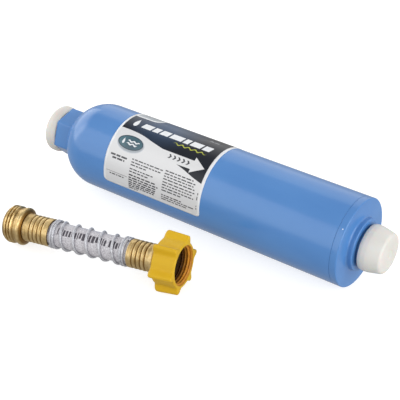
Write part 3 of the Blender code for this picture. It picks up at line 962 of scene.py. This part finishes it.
def panel(left, right, low, high, corner=0.0, steps=4):
    """A rectangle on the film with rounded corners, between two stations and two heights."""
    if not corner:
        return [(left, low), (right, low), (right, high), (left, high)]
    outline = []
    corners = [(right, low, 1, -1, -90), (right, high, 1, 1, 0)]
    corners += [(left, high, -1, 1, 90), (left, low, -1, -1, 180)]
    for x, y, across, along, first in corners:
        middle = (x - across * corner, y - along * corner)
        for i in range(steps + 1):
            turn = math.radians(first + 90 * i / steps)
            outline.append((middle[0] + corner * math.cos(turn), middle[1] + corner * math.sin(turn)))
    return outline


def oval(middle, across, along, steps=40):
    x, y = middle
    turns = [TAU * i / steps for i in range(steps)]
    return [(x + across * math.cos(turn), y + along * math.sin(turn)) for turn in turns]


def drop(middle, size, steps=20):
    """A water drop: a round foot with a pointed top."""
    outline = []
    for i in range(steps):
        turn = TAU * i / steps
        across = size * 0.62 * math.sin(turn) * math.sin(turn / 2) ** 1.5
        outline.append((middle[0] + across, middle[1] + size * math.cos(turn)))
    return outline


def wave(start, end, height, thick, swing, length, steps=10):
    """A wavy stripe with tapered ends."""
    count = max(8, round((end - start) / length * steps))
    upper, lower = [], []
    for i in range(count + 1):
        share = i / count
        x = start + (end - start) * share
        y = height + swing * math.sin(TAU * (x - start) / length)
        half = 0.5 * thick * min(1.0, 0.15 + 6 * min(share, 1 - share))
        upper.append((x, y + half))
        lower.append((x, y - half))
    return lower + upper[::-1]


def text_line(chance, left, right, height, tall, words=(1.3, 4.6), name="print"):
    """A row of short bars that stands for a line of small print, as (ink, outline)."""
    bars = []
    x = left
    while x < right - 1.0:
        end = min(x + chance.uniform(*words), right)
        bars.append((name, panel(x, end, height - tall / 2, height + tall / 2)))
        x = end + 0.75
    return bars


def title_blocks(left, base):
    """A bold title line as plain leaning blocks of one height and uneven widths."""
    tall, lean = 5.2, 1.2
    blocks = []
    for wide in (8.4, 5.2, 7.2, 10.4, 4.6, 9.0, 6.4):
        right, top = left + wide, base + tall
        blocks.append([(left, base), (right, base), (right + lean, top), (left + lean, top)])
        left = right + 1.5
    return blocks


def label_design():
    """The print as (ink, outline) in painting order, with outlines on the flat film in millimetres."""
    chance = random.Random(7)
    left, right, low, high = LABEL_START, LABEL_END, up(LABEL_LOW), up(LABEL_HIGH)
    film = panel(left, right, low, high, 3.0, 5)
    paint = [("border", film), ("ground", panel(left + 1.5, right - 1.5, low + 1.5, high - 1.5, 2.2))]
    swoop = curve_through(on_film((-192.3, 70.0), (-182, 69.8), (-172, 68.0), (-162, 63.8), (-152, 60.2)))
    tail = curve_through(on_film((-135.5, 47.6), (-128, 44.2), (-119.5, 39.4), (-110.9, 35.6)))
    shaft_top = on_film((-151.0, 60.0), (-123.8, 60.0), (-123.8, 48.0))
    paint.append(("band", swoop + shaft_top + tail + on_film((-110.9, 158.0), (-192.3, 158.0))))
    arrow = on_film((-150.0, 59.4), (-150.0, 48.6), (-123.8, 48.0), (-123.8, 43.2))
    arrow += on_film((-113.4, 54.2), (-123.8, 65.2), (-123.8, 60.0))
    paint.append(("ground", arrow))
    corner_panel = on_film((-192.9, 140.0), (-192.9, 100.6))
    for turn in np.linspace(0, math.pi / 2, 7):
        corner_panel.append((-177.0 + 6.0 * math.sin(turn), up(100.6) + 6.0 * (1 - math.cos(turn))))
    corner_panel.append((-171.0, up(140.0)))
    inner_panel = []
    for x, y in corner_panel:
        inner_panel.append((x + (1.3 if x < -180 else -1.5), y + (1.5 if y < up(135) else -1.5)))
    paint += [("border", corner_panel), ("corner", inner_panel)]
    paint.append(("border", drop((-184.6, up(86.0)), 4.4)))
    paint += [("border", block) for block in title_blocks(-179.0, up(79.6))]
    paint.append(("green", wave(-147.0, -119.0, up(74.0), 0.9, 0.75, 5.6)))
    for i in range(5):
        x, y = -144.5 + 3.9 * i, up(54.3)
        chevron = [(x, y + 1.6), (x + 1.5, y + 1.6), (x + 2.9, y)]
        chevron += [(x + 1.5, y - 1.6), (x, y - 1.6), (x + 1.4, y)]
        paint.append(("print", chevron))
    x, y = -177.8, up(52.6)
    for grow, name in ((1.5, "shadow_1"), (1.0, "shadow_2"), (0.5, "shadow_3")):
        paint.append((name, oval((x + 0.5, y - 1.0), 10.6 + grow, 5.2 + grow)))
    paint += [("badge_rim", oval((x, y), 11.0, 5.5)), ("badge", oval((x, y), 10.2, 4.8))]
    paint.append(("border", drop((x - 6.2, y + 0.1), 2.3)))
    for lift, end in ((1.1, 7.6), (-1.1, 6.2)):
        paint.append(("border", wave(x - 3.2, x + end, y + lift, 1.1, 0.45, 4.4)))
    for turn, first, last in ((31.2, -190.0, -175.0), (27.2, -188.0, -177.0)):
        paint += text_line(chance, first, last, up(turn), 1.35, (3.4, 6.0))
    paint.append(("print", panel(-191.6, -172.6, up(8.2) - 0.14, up(8.2) + 0.14)))
    paint += text_line(chance, -188.5, -175.5, up(5.2), 0.9)
    # The columns of small print as (turn, share of the column's width)
    first_column = ((33.8, 1), (30.0, 1), (26.4, 0.5), (21.2, 0.75), (17.6, 0.6), (13.0, 0.85))
    first_column += ((9.4, 0.95), (6.2, 0.9), (3.0, 0.88), (0.2, 0.86), (-2.6, 0.84), (-5.6, 0.3))
    for turn, share in first_column:
        tall = 0.86 if turn > 15 else 1.02
        paint += text_line(chance, -171.0, -171.0 + 27.5 * share, up(turn), tall)
    second_column = ((35.4, 0.85), (31.8, 0.97), (28.4, 0.9), (24.8, 0.95), (20.8, 0.98), (17.2, 0.92))
    second_column += ((13.4, 0.96), (9.8, 0.6), (3.2, 0.65), (0.2, 1.0), (-2.8, 0.8))
    for turn, share in second_column:
        paint += text_line(chance, -141.5, -141.5 + 28.5 * share, up(turn), 0.88)
    for turn, tall in ((1.0, 1.2), (5.0, 0.8), (14.0, 2.6), (20.5, 1.6)):
        paint.append(("print", panel(-111.6, -110.9, up(turn), up(turn) + tall)))
    paint += text_line(chance, -127.0, -119.0, up(104.5), 1.3, name="faint")
    for turn in (112.0, 116.0, 120.0):
        paint += text_line(chance, -188.5, -177.0, up(turn), 0.9, name="faint")
    paint += back_design(chance)
    return film, paint


def back_design(chance):
    """The back: a dark stripe with drops and a wave, over two columns of small print."""
    paint = [("band", panel(-190.5, -112.0, up(222.0), up(229.0), 1.2))]
    for i in range(4):
        paint.append(("border", drop((-184.0 + 5.2 * i, up(225.5)), 1.5)))
    paint.append(("border", wave(-160.0, -116.0, up(225.5), 0.9, 0.5, 6.0)))
    for column, wide in ((-189.5, 36.5), (-149.0, 37.0)):
        for row in range(15):
            turn = 216.0 - 3.5 * row
            if row in (4, 10):
                continue
            share = 0.55 if row in (3, 9, 14) else chance.uniform(0.88, 1.0)
            paint += text_line(chance, column, column + wide * share, up(turn), 0.9)
    return paint


def inside(points, outline):
    """Which of the points lie in the outline, by counting crossings."""
    x, y = points[:, 0], points[:, 1]
    found = np.zeros(len(points), bool)
    for (x0, y0), (x1, y1) in zip(outline, outline[1:] + outline[:1]):
        if y0 != y1:
            crossing = (x1 - x0) * (y - y0) / (y1 - y0) + x0
            found ^= ((y0 > y) != (y1 > y)) & (x < crossing)
    return found


def label_inks():
    wide = {"scale": (0.3, 1.0, 1.0)}
    matt = {"scale": (0.8, 1.0, 1.0), "coat": 0.08, "gloss": 0.3}
    return {
        "border": ink("film_white", (228, 231, 235)).material,
        "ground": graded_print_and_light("film_grey", (217, 218, 220), (199, 201, 204), (-150, 55), 0.05, **wide),
        # Painted reflection: the printed dark band turns lighter and bluer towards the turn of 106
        # degrees.
        "band": graded_print_and_light("film_dark", (44, 76, 112), (14, 20, 32), (-163, 106), 0.03, **matt),
        "corner": graded_print_and_light("film_corner", (182, 190, 198), (146, 155, 163), (-190, 125), 0.022),
        "green": ink("film_green", (176, 182, 62)).material,
        "print": ink("film_print", (60, 61, 68), (40, 41, 48)).material,
        "faint": ink("film_faint", (118, 122, 130)).material,
        "shadow_1": ink("film_shadow_1", (204, 208, 214)).material,
        "shadow_2": ink("film_shadow_2", (182, 188, 196)).material,
        "shadow_3": ink("film_shadow_3", (158, 166, 174)).material,
        "badge_rim": ink("film_badge_rim", (40, 62, 76)).material,
        "badge": graded_print_and_light("film_badge", (36, 66, 82), (66, 104, 116), (-176, 50), 0.011),
    }


def make_label():
    """One closed film: the design is cut into triangles flat, along its outlines, then wrapped round."""
    film, paint = label_design()
    points, edges = [], []
    for _, outline in paint:
        base = len(points)
        points += outline
        edges += [(base + i, base + (i + 1) % len(outline)) for i in range(len(outline))]
    low, high = up(LABEL_LOW), up(LABEL_HIGH)
    heights = np.linspace(low, high, 100)[1:-1].tolist()
    stations = np.linspace(LABEL_START, LABEL_END, 15)[1:-1].tolist()
    cuts = [((LABEL_START - 1, height), (LABEL_END + 1, height)) for height in heights]
    cuts += [((station, low - 1), (station, high + 1)) for station in stations]
    for cut in cuts:
        edges.append((len(points), len(points) + 1))
        points += cut
    flat, _, triangles, _, _, _ = delaunay_2d_cdt([Vector(point) for point in points], edges, [], 0, 1e-4)
    flat = np.array([tuple(point) for point in flat])
    middles = np.array([flat[list(triangle)].mean(0) for triangle in triangles])
    kept = inside(middles, film)
    shown = np.zeros(len(triangles), int)
    inks = label_inks()
    names = list(inks)
    for name, outline in paint:
        shown[inside(middles, outline)] = names.index(name)
    bm = bmesh.new()
    verts = {}

    def vert_of(index):
        if index not in verts:
            verts[index] = bm.verts.new(wrapped(*flat[index]))
        return verts[index]

    for triangle, keep, number in zip(triangles, kept, shown):
        if keep:
            face = bm.faces.new([vert_of(index) for index in triangle])
            face.material_index = int(number)
    bmesh.ops.recalc_face_normals(bm, faces=bm.faces)
    outer = list(bm.faces)
    across = Vector((0, 1, 1))
    if sum(face.normal.dot(face.calc_center_median() * across) for face in outer[:50]) < 0:
        bmesh.ops.reverse_faces(bm, faces=outer)
    copy = bmesh.ops.duplicate(bm, geom=bm.verts[:] + bm.edges[:] + bm.faces[:])
    under = [item for item in copy["geom"] if isinstance(item, bmesh.types.BMFace)]
    shrink = (BODY_R + 0.04) / LABEL_R
    for vert in {vert for face in under for vert in face.verts}:
        vert.co.y *= shrink
        vert.co.z *= shrink
    bmesh.ops.reverse_faces(bm, faces=under)
    twins = copy["vert_map"]
    for edge in [edge for edge in bm.edges if edge.is_boundary]:
        a, b = edge.verts
        if a in twins and b in twins and twins[a] != a and edge.link_faces[0] in set(outer):
            bm.faces.new((b, a, twins[a], twins[b]))
    mesh = bpy.data.meshes.new("label_film")
    bm.to_mesh(mesh)
    bm.free()
    mesh.shade_smooth()
    return fitted(linked("label_film", mesh, FILTER, inks.values()), "filter", "label_film", "label")


# ---- stage


def make_floor():
    surface = Surface("floor", 0.7, Emission_Color=(1.0, 1.0, 1.0, 1.0), Emission_Strength=0.72)
    surface.tint(surface.noise(3), 0.3, 0.7, (0.45, 0.45, 0.45, 1), (0.49, 0.49, 0.49, 1))
    mesh = bpy.data.meshes.new("floor")
    half = FLOOR_HALF
    corners = [(-half, -half, 0), (half, -half, 0), (half, half, 0), (-half, half, 0)]
    mesh.from_pydata(corners, [], [range(4)])
    floor = linked("floor", mesh, Matrix.Translation((0, 0, -FLOOR_DROP)), [surface.material])
    floor.visible_diffuse = False
    floor.visible_glossy = False


def make_light(name, place, target, size, power):
    data = bpy.data.lights.new(name, "AREA")
    data.shape = "RECTANGLE"
    data.size, data.size_y = size
    data.energy = power
    light = added(name, data)
    light.location = place
    light.rotation_euler = (Vector(target) - Vector(place)).to_track_quat("-Z", "Y").to_euler()


def make_lights():
    world = bpy.data.worlds.new("studio")
    bpy.context.scene.world = world
    world.use_nodes = True
    background = world.node_tree.nodes["Background"].inputs
    background["Color"].default_value = (1.0, 0.985, 0.965, 1.0)
    background["Strength"].default_value = 0.5
    middle = (0.0, -0.03, 0.03)
    make_light("front_panel", (-0.78, -1.03, 0.62), middle, (2.4, 1.3), 12.5)
    make_light("left_panel", (-1.45, 0.15, 0.55), middle, (1.7, 1.0), 9)
    make_light("back_panel", (-0.3, 1.15, 0.74), middle, (1.8, 1.3), 6.4)
    make_light("right_panel", (1.5, -0.25, 0.55), middle, (2.0, 1.1), 23)
    bpy.context.scene.view_settings.view_transform = "Standard"


# ---- internals


def give(material, *nodes):
    for node in nodes:
        for slot in frame["nodes"][node].material_slots:
            slot.material = material


def finish_internals():
    """The sealed pieces keep their CAD shapes and get their real finishes."""
    white_felt = felt("white_felt", (238, 238, 234), (205, 205, 200))
    natural = moulded("natural_plastic", (226, 226, 220), (212, 212, 206), 0.5)
    give(white_felt, "inlet_felt_pad", "separator_pad", "outlet_felt_pad")
    give(natural, "inlet_diffuser", "outlet_support_plate")
    give(STAINLESS, "inlet_screen")
    media = (
        ("kdf_media_bed", "brass_granules", (206, 168, 92), (112, 78, 34), 900, 0.45, 0.8),
        ("carbon_media_bed", "carbon_granules", (52, 52, 54), (18, 18, 20), 650, 0.7),
        ("sediment_disc", "sintered_polymer", (236, 234, 226), (196, 192, 182), 1400, 0.8),
    )
    for node, *finish in media:
        give(granules(*finish), node)
    first, last, turns, radius = -26.8, -6.2, 4.5, 20.0
    points = []
    for turn in np.linspace(0, turns, round(turns * 40)):
        station = first + (last - first) * turn / turns
        points.append((station, radius * math.cos(TAU * turn), radius * math.sin(TAU * turn)))
    spring = coil("packing_spring", points, 1.0, FILTER, [STAINLESS])
    fitted(spring, "filter", "stainless_steel", "media_spring")
    make_washer("inlet_seal", INLET_WASHER, (8.0, 13.3), FILTER, RUBBER, "filter", "inlet_washer")


make_camera()
make_hose_protector()
make_housing()
make_end_cap()
make_gate_mark()
make_outlet_closure()
make_inlet_closure()
make_label()
finish_internals()
make_floor()
make_lights()
